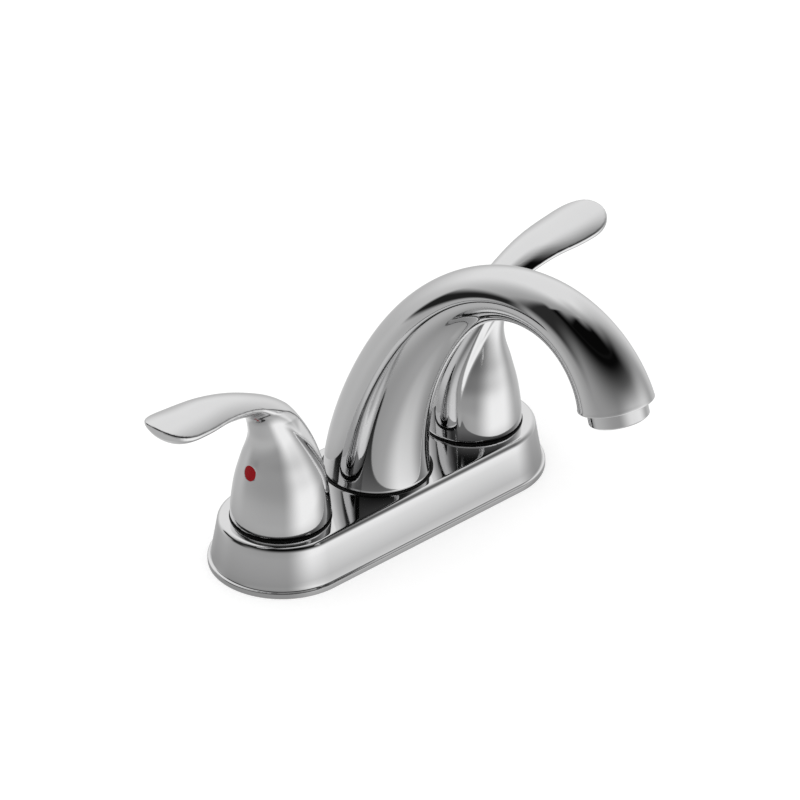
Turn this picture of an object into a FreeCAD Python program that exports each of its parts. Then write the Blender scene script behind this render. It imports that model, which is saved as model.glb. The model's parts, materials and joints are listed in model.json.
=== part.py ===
import FreeCAD, Part
import Sketcher
import math
import os

Vector = FreeCAD.Vector
doc = FreeCAD.newDocument("faucet")

# Driving dimensions in millimetres and degrees. Heights are measured up from the deck.
sheet = doc.addObject("Spreadsheet::Sheet", "Sizes")
DIMENSIONS = {
    # deck plate
    "handle_spacing": 101.6,
    "plate_end_radius": 29.1,
    "plate_end_spacing": 100.6,
    "plate_height": 20.7,
    "plate_wall": 2.4,
    "plate_draft": 11.0,
    "plate_top_round": 2.4,
    "lip_height": 2.4,
    "lip_depth": 0.9,
    "gasket_thickness": 2.0,
    "gasket_gap": 0.9,
    # fits
    "fit_gap": 0.1,
    "running_gap": 0.08,
    "hole_gap": 0.3,
    "turning_gap": 0.3,
    # threaded shanks and valve bodies
    "shank_radius": 10.45,
    "shank_drop": 48.0,
    "shank_collar": 12.0,
    "inlet_radius": 6.5,
    "foot_radius": 15.0,
    "foot_thickness": 3.0,
    "valve_radius": 13.4,
    "neck_radius": 12.0,
    "neck_rise": 5.8,
    "cartridge_radius": 9.5,
    "cartridge_floor": 7.0,
    "port_below_top": 1.3,
    "cross_tube_radius": 4.6,
    "cross_tube_wall": 0.9,
    "tube_end_margin": 0.5,
    "socket_depth": 3.5,
    # cartridges
    "seal_thickness": 2.0,
    "seal_gap": 0.5,
    "disc_radius": 7.4,
    "disc_thickness": 2.5,
    "disc_port_radius": 2.1,
    "disc_port_offset": 4.2,
    "stem_foot_thickness": 2.4,
    "stem_radius": 4.5,
    "shoulder_gap": 0.2,
    "spline_radius": 3.9,
    "stem_flat": 3.4,
    "flat_below_screw": 5.4,
    "stem_above_screw": 4.4,
    "ring_section": 0.6,
    "stem_ring_rise": 0.5,
    "cartridge_flange": 2.0,
    "collar_radius": 6.9,
    "collar_rise": 7.5,
    "window_radius": 3.0,
    "nut_flat": 13.5,
    "nut_lip": 2.4,
    "nut_lift": 0.5,
    # handles
    "base_ring_thickness": 0.8,
    "base_ring_radius": 20.1,
    "ring_width": 3.9,
    "hot_lever_swing": 3.3,
    "cold_lever_swing": 0.2,
    "hub_radius": 19.6,
    "hub_wall": 2.6,
    "boss_radius": 7.4,
    "boss_gap": 0.6,
    "cavity_depth": 6.4,
    "cavity_roof_radius": 14.0,
    "button_radius": 3.3,
    "button_gap": 0.05,
    "button_rise": 23.8,
    "button_depth": 2.1,
    "screw_radius": 2.0,
    "screw_recess": 1.8,
    "driver_radius": 1.0,
    "driver_depth": 2.0,
    # spout
    "spout_foot_radius": 21.0,
    "spout_low_radius": 19.35,
    "spout_shoulder_radius": 17.1,
    "spout_neck_radius": 14.2,
    "spout_waist_radius": 10.9,
    "spout_nose_radius": 11.8,
    "spout_mouth_radius": 15.0,
    "spout_ring_radius": 22.3,
    "spout_ring_thickness": 0.3,
    "spout_wall": 2.4,
    "spout_reach": 132.4,
    "outlet_height": 110.1,
    "outlet_tilt": 17.8,
    "peak_above_outlet": 25.6,
    "peak_behind_outlet": 38.6,
    "arch_bend_below_outlet": 49.6,
    "arch_back_pull": 56.0,
    "arch_front_pull": 20.2,
    "nose_pull": 14.1,
    "mouth_depth": 6.0,
    "throat_radius": 7.2,
    "throat_depth": 14.0,
    "spout_floor": 5.0,
    "hub_body_radius": 9.2,
    "hub_floor": 2.4,
    "spigot_radius": 7.6,
    "spigot_rise": 13.3,
    "spigot_bore": 3.4,
    "spout_seal_rise": 3.9,
    "tube_radius": 4.5,
    "tube_wall": 0.8,
    "tube_socket": 4.0,
    "tube_end": 5.0,
    "fixing_offset": 13.6,
    "fixing_radius": 2.2,
    "fixing_head_radius": 4.0,
    "fixing_head": 2.6,
    "fixing_tip_gap": 0.2,
    # aerator
    "aerator_radius": 11.8,
    "aerator_drop": 6.2,
    "aerator_wall": 2.0,
    "aerator_chamfer": 0.6,
    "aerator_washer": 1.4,
    "adapter_thickness": 2.4,
    "socket_wall": 1.8,
    "ledge": 1.0,
    "insert_depth": 5.0,
    "insert_hole": 1.0,
    "insert_pitch": 3.2,
    "screen_thickness": 0.8,
    "screen_hole": 0.7,
    "screen_pitch": 2.4,
}
for row, (alias, value) in enumerate(DIMENSIONS.items(), start=1):
    sheet.set("A%d" % row, alias.replace("_", " "))
    sheet.set("B%d" % row, str(value))
    sheet.setAlias("B%d" % row, alias)
doc.recompute()


class Size:
    """A length with the sheet formula that gives it."""

    def __init__(self, value, text):
        self.value = value
        self.text = text

    def join(self, other, sign, value):
        other = as_size(other)
        return Size(value(self.value, other.value), "(%s %s %s)" % (self.text, sign, other.text))

    def __add__(self, other):
        return self.join(other, "+", lambda a, b: a + b)

    def __sub__(self, other):
        return self.join(other, "-", lambda a, b: a - b)

    def __mul__(self, other):
        return self.join(other, "*", lambda a, b: a * b)

    def __truediv__(self, other):
        return self.join(other, "/", lambda a, b: a / b)

    def __neg__(self):
        return Size(-self.value, "(0 - %s)" % self.text)


def as_size(value):
    if isinstance(value, Size):
        return value
    return Size(float(value), repr(float(value)))


def size(alias):
    return Size(float(sheet.get(alias)), "Sizes." + alias)


def bind(thing, path, length):
    thing.setExpression(path, length.text)


# Heights and radii that several pieces share
ZERO = as_size(0)
AXIS_X = size("handle_spacing") / 2
PLATE_TOP = size("plate_height")
PLATE_UNDER = PLATE_TOP - size("plate_wall")
NECK_TOP = PLATE_TOP + size("neck_rise")
RING_TOP = PLATE_TOP + size("base_ring_thickness")
HUB_BOTTOM = RING_TOP + size("turning_gap")
GASKET_TOP = size("gasket_thickness")
PORT_HEIGHT = PLATE_UNDER - size("cross_tube_radius") - size("port_below_top")
BORE_RADIUS = size("cartridge_radius") + size("fit_gap")
HOUSING_FLOOR = size("cartridge_floor") + size("seal_thickness")
DISC_MEET = HOUSING_FLOOR + size("disc_thickness")
DISC_TOP = DISC_MEET + size("disc_thickness")
FOOT_TOP = DISC_TOP + size("stem_foot_thickness")
NECK_HOLE = size("neck_radius") + size("hole_gap")
COLLAR_TOP = NECK_TOP + size("collar_rise")
STEM_SHOULDER = COLLAR_TOP + size("shoulder_gap")
STEM_RING = NECK_TOP + size("stem_ring_rise")
BUTTON_HEIGHT = HUB_BOTTOM + size("button_rise")
STEM_TOP = BUTTON_HEIGHT + size("screw_radius") + size("stem_above_screw")
SPIGOT_TOP = PLATE_TOP + size("spigot_rise")
SPOUT_FOOT = PLATE_TOP + size("spout_ring_thickness")
AERATOR_BORE = size("aerator_radius") - size("aerator_wall")
SPOUT_SEAL = PLATE_TOP + size("spout_seal_rise")
PLATE_REACH = size("plate_end_spacing") / 2
SIDES = (("hot", -1), ("cold", 1))


def origin_plane(body, role):
    for feature in body.Origin.OriginFeatures:
        if feature.Role == role:
            return feature
    raise ValueError("no plane " + role)


def new_sketch(body, name, role, lift=None):
    sketch = body.newObject("Sketcher::SketchObject", name)
    sketch.AttachmentSupport = [(origin_plane(body, role), "")]
    sketch.MapMode = "FlatFace"
    if lift is not None:
        sketch.AttachmentOffset = FreeCAD.Placement(Vector(0, 0, lift.value), FreeCAD.Rotation())
        bind(sketch, ".AttachmentOffset.Base.z", lift)
    return sketch


def dimension(sketch, kind, *places, length):
    """Adds a driving constraint bound to its formula."""
    index = sketch.addConstraint(Sketcher.Constraint(kind, *places, length.value))
    bind(sketch, "Constraints[%d]" % index, length)


def outline(sketch, points):
    """Closed outline of straight lines through (across, up) sizes."""
    count = len(points)
    first = sketch.GeometryCount
    for number in range(count):
        start = points[number]
        end = points[(number + 1) % count]
        sketch.addGeometry(Part.LineSegment(Vector(start[0].value, start[1].value, 0),
                                            Vector(end[0].value, end[1].value, 0)), False)
    for number in range(count):
        after = first + (number + 1) % count
        sketch.addConstraint(Sketcher.Constraint("Coincident", first + number, 2, after, 1))
    for number, (across, up) in enumerate(points):
        dimension(sketch, "DistanceX", -1, 1, first + number, 1, length=across)
        dimension(sketch, "DistanceY", -1, 1, first + number, 1, length=up)


def circle(sketch, across, up, radius):
    ring = sketch.addGeometry(Part.Circle(Vector(across.value, up.value, 0), Vector(0, 0, 1), radius.value), False)
    dimension(sketch, "DistanceX", -1, 1, ring, 3, length=across)
    dimension(sketch, "DistanceY", -1, 1, ring, 3, length=up)
    dimension(sketch, "Radius", ring, length=radius)


def stadium(sketch, half_length, radius):
    """Slot outline: two half circles joined by straight sides."""
    reach = half_length.value
    curve = radius.value
    right = Part.Circle(Vector(reach, 0, 0), Vector(0, 0, 1), curve)
    left = Part.Circle(Vector(-reach, 0, 0), Vector(0, 0, 1), curve)
    quarter = math.pi / 2
    sketch.addGeometry(Part.ArcOfCircle(right, -quarter, quarter), False)
    sketch.addGeometry(Part.LineSegment(Vector(reach, curve, 0), Vector(-reach, curve, 0)), False)
    sketch.addGeometry(Part.ArcOfCircle(left, quarter, 3 * quarter), False)
    sketch.addGeometry(Part.LineSegment(Vector(-reach, -curve, 0), Vector(reach, -curve, 0)), False)
    for start, end in ((0, 1), (1, 2), (2, 3), (3, 0)):
        sketch.addConstraint(Sketcher.Constraint("Tangent", start, 2, end, 1))
    for arc, across in ((0, half_length), (2, -half_length)):
        dimension(sketch, "DistanceX", -1, 1, arc, 3, length=across)
        sketch.addConstraint(Sketcher.Constraint("PointOnObject", arc, 3, -1))
    dimension(sketch, "Radius", 0, length=radius)


def new_body(label):
    body = doc.addObject("PartDesign::Body", label)
    body.Label = label
    return body


def turn(body, name, points, groove=False):
    """Turns an outline of (radius, height) sizes about the body's upright axis."""
    sketch = new_sketch(body, name + "_outline", "XZ_Plane")
    outline(sketch, points)
    kind = "PartDesign::Groove" if groove else "PartDesign::Revolution"
    feature = body.newObject(kind, name)
    feature.Profile = sketch
    feature.ReferenceAxis = (sketch, ["V_Axis"])
    feature.Angle = 360
    body.Tip = feature
    return feature


def turned_piece(label, points):
    body = new_body(label)
    turn(body, label + "_turned", points)
    return body


def drill(body, name, role, circles, upward=True, lift=None, depth=None):
    """Cuts round holes from a sketch plane, through all or to a depth."""
    sketch = new_sketch(body, name + "_circles", role, lift)
    for across, up, radius in circles:
        circle(sketch, across, up, radius)
    pocket = body.newObject("PartDesign::Pocket", name)
    pocket.Profile = sketch
    if depth is None:
        pocket.Type = "ThroughAll"
    else:
        pocket.Type = "Length"
        bind(pocket, "Length", depth)
    pocket.Reversed = upward
    body.Tip = pocket
    return pocket


def pad(body, name, sketch, height, taper=None, reverse=False):
    feature = body.newObject("PartDesign::Pad", name)
    feature.Profile = sketch
    feature.Type = "Length"
    bind(feature, "Length", height)
    if taper is not None:
        bind(feature, "TaperAngle", taper)
    feature.Reversed = reverse
    body.Tip = feature
    return feature


def edges_where(shape, test):
    return ["Edge%d" % (i + 1) for i, edge in enumerate(shape.Edges) if test(edge)]


def lies_at(height):
    def test(edge):
        box = edge.BoundBox
        return abs(box.ZMin - height) < 1e-4 and abs(box.ZMax - height) < 1e-4
    return test


def stand(thing, across):
    bind(thing, ".Placement.Base.x", across)


def swing(thing, name, quarter_turns=0):
    """Turns a piece about its upright axis with the lever of its side."""
    angle = size(name + "_lever_swing") + 90 * quarter_turns
    thing.Placement = FreeCAD.Placement(thing.Placement.Base, FreeCAD.Rotation(Vector(0, 0, 1), angle.value))
    bind(thing, ".Placement.Rotation.Angle", angle)


def ring_outline(inner, outer, bottom, top):
    return [(inner, bottom), (outer, bottom), (outer, top), (inner, top)]


# Deck plate: a drafted shell with a lip round its foot
def make_deck_plate():
    body = new_body("deck_plate")
    foot_radius = size("plate_end_radius") - size("lip_depth")
    lip = new_sketch(body, "lip_outline", "XY_Plane")
    stadium(lip, PLATE_REACH, size("plate_end_radius"))
    pad(body, "lip", lip, size("lip_height"))
    wall = new_sketch(body, "wall_outline", "XY_Plane", size("lip_height"))
    stadium(wall, PLATE_REACH, foot_radius)
    rise = PLATE_TOP - size("lip_height")
    pad(body, "wall", wall, rise, taper=-size("plate_draft"))
    doc.recompute()
    solid = body.Tip
    top = body.newObject("PartDesign::Fillet", "top_round")
    top.Base = (solid, edges_where(solid.Shape, lies_at(PLATE_TOP.value)))
    bind(top, "Radius", size("plate_top_round"))
    body.Tip = top
    inside = new_sketch(body, "inside_outline", "XY_Plane")
    stadium(inside, PLATE_REACH, foot_radius - size("plate_wall"))
    hollow = body.newObject("PartDesign::Pocket", "inside")
    hollow.Profile = inside
    hollow.Type = "Length"
    bind(hollow, "Length", PLATE_UNDER)
    bind(hollow, "TaperAngle", -size("plate_draft"))
    hollow.Reversed = True
    body.Tip = hollow
    holes = [(-AXIS_X, ZERO, NECK_HOLE), (AXIS_X, ZERO, NECK_HOLE),
             (ZERO, ZERO, size("spigot_radius") + size("hole_gap"))]
    for side in (-1, 1):
        holes.append((ZERO, size("fixing_offset") * side, size("fixing_radius") + size("hole_gap")))
    drill(body, "top_holes", "XY_Plane", holes)
    return body


def make_base_gasket():
    body = new_body("base_gasket")
    sketch = new_sketch(body, "gasket_outline", "XY_Plane")
    edge = size("plate_end_radius") - size("lip_depth") - size("plate_wall") - size("gasket_gap")
    stadium(sketch, PLATE_REACH, edge)
    pad(body, "gasket_sheet", sketch, GASKET_TOP)
    hole = size("shank_collar") + size("hole_gap")
    drill(body, "gasket_holes", "XY_Plane", [(-AXIS_X, ZERO, hole), (AXIS_X, ZERO, hole)])
    return body


# Water way: two valve bodies on threaded shanks, joined to the spout hub by cross tubes
def make_valve_body(name, side):
    body = new_body(name + "_valve_body")
    foot_top = GASKET_TOP + size("foot_thickness")
    turn(body, name + "_casting", [
        (size("inlet_radius"), -size("shank_drop")),
        (size("shank_radius"), -size("shank_drop")),
        (size("shank_radius"), ZERO),
        (size("shank_collar"), ZERO),
        (size("shank_collar"), GASKET_TOP),
        (size("foot_radius"), GASKET_TOP),
        (size("foot_radius"), foot_top),
        (size("valve_radius"), foot_top),
        (size("valve_radius"), PLATE_UNDER),
        (size("neck_radius"), PLATE_UNDER),
        (size("neck_radius"), NECK_TOP),
        (BORE_RADIUS, NECK_TOP),
        (BORE_RADIUS, size("cartridge_floor")),
        (size("inlet_radius"), size("cartridge_floor")),
    ])
    bore = size("cross_tube_radius") - size("cross_tube_wall")
    drill(body, name + "_port_way", "YZ_Plane", [(ZERO, PORT_HEIGHT, bore)], upward=side < 0)
    socket = new_sketch(body, name + "_socket_circle", "YZ_Plane", -(BORE_RADIUS + size("tube_end_margin")) * side)
    circle(socket, ZERO, PORT_HEIGHT, size("cross_tube_radius") + size("fit_gap"))
    cut = body.newObject("PartDesign::Pocket", name + "_socket")
    cut.Profile = socket
    cut.Type = "ThroughAll"
    cut.Reversed = side < 0
    body.Tip = cut
    stand(body, AXIS_X * side)
    return body


def make_cross_tube(name, side):
    body = new_body(name + "_cross_tube")
    inner = size("cross_tube_radius") - size("cross_tube_wall")
    near = size("hub_body_radius") - size("socket_depth")
    far = AXIS_X - BORE_RADIUS - size("tube_end_margin")
    sketch = new_sketch(body, name + "_tube_section", "YZ_Plane", near * side)
    circle(sketch, ZERO, PORT_HEIGHT, size("cross_tube_radius"))
    circle(sketch, ZERO, PORT_HEIGHT, inner)
    pad(body, name + "_tube_length", sketch, far - near, reverse=side < 0)
    return body


def make_spout_hub():
    body = new_body("spout_hub")
    outer = size("hub_body_radius")
    bore = size("spigot_bore")
    floor = PORT_HEIGHT - size("cross_tube_radius") - size("hub_floor")
    socket = SPIGOT_TOP - size("tube_socket")
    groove = size("spigot_radius") - size("ring_section") * 2
    seal_low = SPOUT_SEAL - size("ring_section")
    seal_high = SPOUT_SEAL + size("ring_section")
    turn(body, "hub_turned", [
        (ZERO, floor),
        (outer, floor),
        (outer, PLATE_UNDER),
        (size("spigot_radius"), PLATE_UNDER),
        (size("spigot_radius"), seal_low),
        (groove, seal_low),
        (groove, seal_high),
        (size("spigot_radius"), seal_high),
        (size("spigot_radius"), SPIGOT_TOP),
        (size("tube_radius") + size("fit_gap"), SPIGOT_TOP),
        (size("tube_radius") + size("fit_gap"), socket),
        (bore, socket),
        (bore, PORT_HEIGHT),
        (ZERO, PORT_HEIGHT),
    ])
    way = new_sketch(body, "cross_way_circle", "YZ_Plane")
    circle(way, ZERO, PORT_HEIGHT, size("cross_tube_radius") - size("cross_tube_wall"))
    cut = body.newObject("PartDesign::Pocket", "cross_way")
    cut.Profile = way
    cut.Type = "ThroughAll"
    cut.Midplane = True
    for name, side in SIDES:
        start = (outer - size("socket_depth")) * side
        drill(body, name + "_socket", "YZ_Plane",
              [(ZERO, PORT_HEIGHT, size("cross_tube_radius") + size("fit_gap"))],
              upward=side > 0, lift=start, depth=size("socket_depth") + size("fit_gap"))
    return body


# Cartridges: two ceramic discs, one fixed and one turned by the stem
def make_cartridge(name, side):
    pieces = []
    pieces.append(turned_piece(name + "_cartridge_seal", ring_outline(
        size("inlet_radius"), size("cartridge_radius") - size("seal_gap"),
        size("cartridge_floor"), HOUSING_FLOOR)))

    fixed = turned_piece(name + "_fixed_disc", ring_outline(
        ZERO, size("disc_radius"), HOUSING_FLOOR, DISC_MEET))
    ports = [(ZERO, size("disc_port_offset") * way, size("disc_port_radius")) for way in (-1, 1)]
    drill(fixed, name + "_fixed_ports", "XY_Plane", ports)
    pieces.append(fixed)

    moving = turned_piece(name + "_moving_disc", ring_outline(
        ZERO, size("disc_radius"), DISC_MEET, DISC_TOP))
    ports = [(size("disc_port_offset") * way, ZERO, size("disc_port_radius")) for way in (-1, 1)]
    drill(moving, name + "_moving_ports", "XY_Plane", ports)
    pieces.append(moving)

    groove = size("stem_radius") - size("ring_section") * 2
    seal_low = STEM_RING - size("ring_section")
    seal_high = STEM_RING + size("ring_section")
    stem = turned_piece(name + "_stem", [
        (ZERO, DISC_TOP),
        (size("disc_radius"), DISC_TOP),
        (size("disc_radius"), FOOT_TOP),
        (size("stem_radius"), FOOT_TOP),
        (size("stem_radius"), seal_low),
        (groove, seal_low),
        (groove, seal_high),
        (size("stem_radius"), seal_high),
        (size("stem_radius"), STEM_SHOULDER),
        (size("spline_radius"), STEM_SHOULDER),
        (size("spline_radius"), STEM_TOP),
        (ZERO, STEM_TOP),
    ])
    flat_bottom = BUTTON_HEIGHT - size("screw_radius") - size("flat_below_screw")
    flat = new_sketch(stem, name + "_flat_outline", "XY_Plane", flat_bottom)
    low = size("stem_flat") * side
    high = size("spline_radius") * 2 * side
    outline(flat, [(low, -size("spline_radius") * 2), (high, -size("spline_radius") * 2),
                   (high, size("spline_radius") * 2), (low, size("spline_radius") * 2)])
    cut = stem.newObject("PartDesign::Pocket", name + "_flat")
    cut.Profile = flat
    cut.Type = "ThroughAll"
    cut.Reversed = True
    stem.Tip = cut
    pieces.append(stem)

    seal = new_body(name + "_stem_seal")
    sketch = new_sketch(seal, name + "_seal_circle", "XZ_Plane")
    circle(sketch, size("stem_radius") - size("ring_section"), STEM_RING, size("ring_section"))
    ring = seal.newObject("PartDesign::Revolution", name + "_seal_ring")
    ring.Profile = sketch
    ring.ReferenceAxis = (sketch, ["V_Axis"])
    ring.Angle = 360
    seal.Tip = ring
    pieces.append(seal)
    for piece in (moving, stem):
        swing(piece, name)

    disc_bore = size("disc_radius") + size("running_gap")
    stem_bore = size("stem_radius") + size("running_gap")
    flange_top = NECK_TOP + size("cartridge_flange")
    housing = turned_piece(name + "_cartridge_housing", [
        (disc_bore, HOUSING_FLOOR),
        (size("cartridge_radius"), HOUSING_FLOOR),
        (size("cartridge_radius"), NECK_TOP),
        (size("neck_radius"), NECK_TOP),
        (size("neck_radius"), flange_top),
        (size("collar_radius"), flange_top),
        (size("collar_radius"), COLLAR_TOP),
        (stem_bore, COLLAR_TOP),
        (stem_bore, FOOT_TOP + size("fit_gap")),
        (disc_bore, FOOT_TOP + size("fit_gap")),
    ])
    window = [(ZERO, PORT_HEIGHT, size("window_radius"))]
    drill(housing, name + "_window", "YZ_Plane", window, upward=side < 0)
    pieces.append(housing)

    nut = new_body(name + "_bonnet_nut")
    hexagon = new_sketch(nut, name + "_nut_outline", "XY_Plane", PLATE_TOP + size("nut_lift"))
    corner = size("nut_flat") * (2 / math.sqrt(3))
    corners = []
    for turn_number in range(6):
        angle = math.radians(60 * turn_number)
        corners.append((corner * math.cos(angle), corner * math.sin(angle)))
    outline(hexagon, corners)
    nut_top = flange_top + size("nut_lip")
    pad(nut, name + "_nut_block", hexagon, nut_top - PLATE_TOP - size("nut_lift"))
    drill(nut, name + "_nut_thread", "XY_Plane",
          [(ZERO, ZERO, size("neck_radius") + size("fit_gap"))], lift=PLATE_TOP,
          depth=flange_top - PLATE_TOP)
    drill(nut, name + "_nut_mouth", "XY_Plane", [(ZERO, ZERO, size("collar_radius") + size("hole_gap"))])
    pieces.append(nut)

    for piece in pieces:
        stand(piece, AXIS_X * side)
    return pieces


def make_ring(label, inner, outer, top, across):
    ring = turned_piece(label, ring_outline(inner, outer, PLATE_TOP, top))
    stand(ring, across)
    return ring


# Handles: a bell that carries a crowned strap running out as the lever
HUB_STATIONS = (
    # rise, draw-in from the hub's radius, shift towards the lever, lean in degrees
    (0.0, 0.0, 0.0, 0),
    (3.2, 0.0, 0.0, 0),
    (7.2, 0.4, 0.0, 0),
    (11.2, 0.9, 0.0, 0),
    (15.2, 1.6, 0.1, 0),
    (19.2, 2.6, 0.3, 0),
    (23.2, 4.0, 0.8, 0),
    (27.2, 5.5, 1.4, 0),
    (31.2, 7.2, 2.0, 1),
    (35.2, 8.8, 2.9, 3),
    (39.2, 10.1, 4.2, 7),
    (43.2, 10.9, 5.8, 13),
    (47.2, 11.5, 7.5, 20),
    (51.4, 11.9, 9.5, 28),
)
STRAP_STATIONS = (
    # reach, rise, half width, crown, depth at the edges, belly below the edges
    (-19.9, 0.0, 10.4, 3.2, 5.0, 2.0),
    (-19.7, 6.2, 10.0, 3.2, 5.0, 2.0),
    (-18.9, 13.2, 9.5, 3.3, 5.0, 2.0),
    (-17.3, 20.7, 8.9, 3.3, 5.0, 2.0),
    (-14.9, 27.7, 8.3, 3.2, 4.6, 2.0),
    (-11.6, 34.4, 8.0, 3.0, 4.2, 2.0),
    (-7.4, 41.2, 8.0, 2.6, 3.9, 2.0),
    (-2.0, 47.8, 8.0, 2.1, 3.6, 1.9),
    (5.0, 53.5, 7.9, 1.6, 3.0, 2.0),
    (12.6, 57.2, 7.7, 1.2, 2.3, 2.3),
    (20.5, 60.0, 8.3, 1.0, 1.7, 2.8),
    (29.0, 62.5, 9.4, 1.1, 1.4, 3.4),
    (38.0, 64.5, 10.4, 1.5, 1.4, 3.9),
    (46.0, 65.5, 11.2, 1.8, 1.4, 4.2),
    (53.0, 65.7, 11.6, 1.8, 1.4, 4.5),
    (56.5, 65.9, 11.6, 1.6, 1.4, 4.6),
    (59.5, 66.3, 11.1, 1.4, 1.4, 4.4),
    (62.2, 66.9, 9.7, 1.0, 1.3, 3.9),
    (64.4, 67.6, 7.5, 0.6, 1.3, 3.0),
    (66.0, 68.3, 4.6, 0.25, 1.2, 1.9),
    (66.7, 68.6, 1.9, 0.05, 1.1, 0.9),
)


def hub_solid():
    rings = []
    for rise, draw_in, shift, lean in HUB_STATIONS:
        centre = Vector(shift, 0, HUB_BOTTOM.value + rise)
        upward = Vector(-math.sin(math.radians(lean)), 0, math.cos(math.radians(lean)))
        radius = size("hub_radius").value - draw_in
        rings.append(Part.Wire([Part.Circle(centre, upward, radius).toShape()]))
    return Part.makeLoft(rings, True, False)


def hub_reach(height):
    """How far the hub's skin stands out on the lever's side at a height."""
    rise = height.value - HUB_BOTTOM.value
    for low, high in zip(HUB_STATIONS, HUB_STATIONS[1:]):
        if low[0] <= rise <= high[0]:
            share = (rise - low[0]) / (high[0] - low[0])
            inward = low[1] - low[2] + share * (high[1] - high[2] - low[1] + low[2])
            return size("hub_radius") - inward
    raise ValueError("the button lies off the hub")


def strap_section(number):
    """Closed section square to the strap's run: crowned top, upright sides, bellied underside."""
    reach, rise, half, crown, depth, belly = STRAP_STATIONS[number]
    before = STRAP_STATIONS[max(number - 1, 0)]
    after = STRAP_STATIONS[min(number + 1, len(STRAP_STATIONS) - 1)]
    run = Vector(after[0] - before[0], 0, after[1] - before[1]).normalize()
    if number == 0:
        run = Vector(0, 0, 1)
    out = Vector(0, 1, 0).cross(run) * -1
    middle = Vector(reach, 0, HUB_BOTTOM.value + rise)
    side = Vector(0, half, 0)
    top = middle
    shoulder = middle - out * crown
    foot = shoulder - out * depth
    under = foot - out * belly
    edges = [
        Part.Arc(shoulder - side, top, shoulder + side).toShape(),
        Part.LineSegment(shoulder + side, foot + side).toShape(),
        Part.Arc(foot + side, under, foot - side).toShape(),
        Part.LineSegment(foot - side, shoulder - side).toShape(),
    ]
    return Part.Wire(edges)


def handle_blank():
    sections = [strap_section(number) for number in range(len(STRAP_STATIONS))]
    strap = Part.makeLoft(sections, True, False)
    return hub_solid().fuse(strap)


def revolve(points):
    wire = Part.makePolygon([Vector(across.value, 0, up.value) for across, up in points + points[:1]])
    return Part.Face(wire).revolve(Vector(0, 0, 0), Vector(0, 0, 1), 360)


def rod(radius, start, end, height):
    return Part.makeCylinder(radius.value, end.value - start.value, Vector(start.value, 0, height.value),
                             Vector(1, 0, 0))


def cast_piece(name, kind, shape, side):
    piece = doc.addObject("Part::Feature", name + kind)
    piece.Label = name + kind
    piece.Shape = shape
    swing(piece, name, 1 - side)
    stand(piece, AXIS_X * side)
    return piece


def make_handles():
    blank = handle_blank()
    spline_bore = size("spline_radius") + size("running_gap")
    inside = size("hub_radius") - size("hub_wall")
    boss_bottom = COLLAR_TOP + size("boss_gap")
    cavity_top = boss_bottom + size("cavity_depth")
    hollow = revolve([
        (ZERO, HUB_BOTTOM - size("hub_wall")),
        (inside, HUB_BOTTOM - size("hub_wall")),
        (inside, COLLAR_TOP - size("hole_gap")),
        (size("cavity_roof_radius"), cavity_top),
        (size("boss_radius"), cavity_top),
        (size("boss_radius"), boss_bottom),
        (spline_bore, boss_bottom),
        (spline_bore, STEM_TOP),
        (ZERO, STEM_TOP),
    ])
    skin = size("hub_radius") + size("hub_wall")
    seat = hub_reach(BUTTON_HEIGHT) - size("button_depth")
    recess = rod(size("button_radius"), seat, skin, BUTTON_HEIGHT)
    screw_hole = rod(size("screw_radius"), ZERO, seat, BUTTON_HEIGHT)
    casting = blank.cut(hollow).cut(recess).cut(screw_hole)
    button = rod(size("button_radius") - size("button_gap"), seat, skin, BUTTON_HEIGHT).common(hub_solid())
    screw_end = seat - size("screw_recess")
    screw = rod(size("screw_radius"), size("stem_flat"), screw_end, BUTTON_HEIGHT)
    screw = screw.cut(rod(size("driver_radius"), screw_end - size("driver_depth"), screw_end, BUTTON_HEIGHT))
    for name, side in SIDES:
        cast_piece(name, "_handle", casting, side)
        cast_piece(name, "_index_button", button, side)
        cast_piece(name, "_set_screw", screw, side)


# Spout: one tapering tube lofted along an arch, hollow inside
SPOUT_RADII = (
    # share of the arch's length, radius
    (0.00, size("spout_foot_radius")),
    (0.08, size("spout_low_radius")),
    (0.20, size("spout_shoulder_radius")),
    (0.38, size("spout_neck_radius")),
    (0.60, size("spout_waist_radius")),
    (0.82, size("spout_nose_radius")),
    (1.00, size("spout_mouth_radius")),
)
TILT = math.radians(float(sheet.outlet_tilt))
OUTLET = Vector(0, -float(sheet.spout_reach), float(sheet.outlet_height))
INWARD = Vector(0, math.sin(TILT), math.cos(TILT))


def arch_curve():
    """Upright at the foot, level at the top and along the outlet at the mouth."""
    peak = OUTLET + Vector(0, float(sheet.peak_behind_outlet), float(sheet.peak_above_outlet))
    foot = Vector(0, 0, SPOUT_FOOT.value)
    bend = Vector(0, 0, float(sheet.outlet_height - sheet.arch_bend_below_outlet))
    rise = Part.BezierCurve()
    rise.setPoles([foot, bend, peak + Vector(0, float(sheet.arch_back_pull), 0), peak])
    fall = Part.BezierCurve()
    fall.setPoles([peak, peak - Vector(0, float(sheet.arch_front_pull), 0),
                   OUTLET + INWARD * float(sheet.nose_pull), OUTLET])
    return Part.Wire([rise.toShape(), fall.toShape()])


def smooth_radius(share):
    """Radius at a share of the arch, by a smooth curve through the stations."""
    points = [Vector(part, radius.value, 0) for part, radius in SPOUT_RADII]
    curve = Part.BSplineCurve()
    curve.interpolate(points)
    low = curve.FirstParameter
    high = curve.LastParameter
    for step in range(40):
        middle = (low + high) / 2
        if curve.value(middle).x < share:
            low = middle
        else:
            high = middle
    return curve.value(low).y


def arch_points(steps):
    return arch_curve().discretize(steps + 1)


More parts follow.
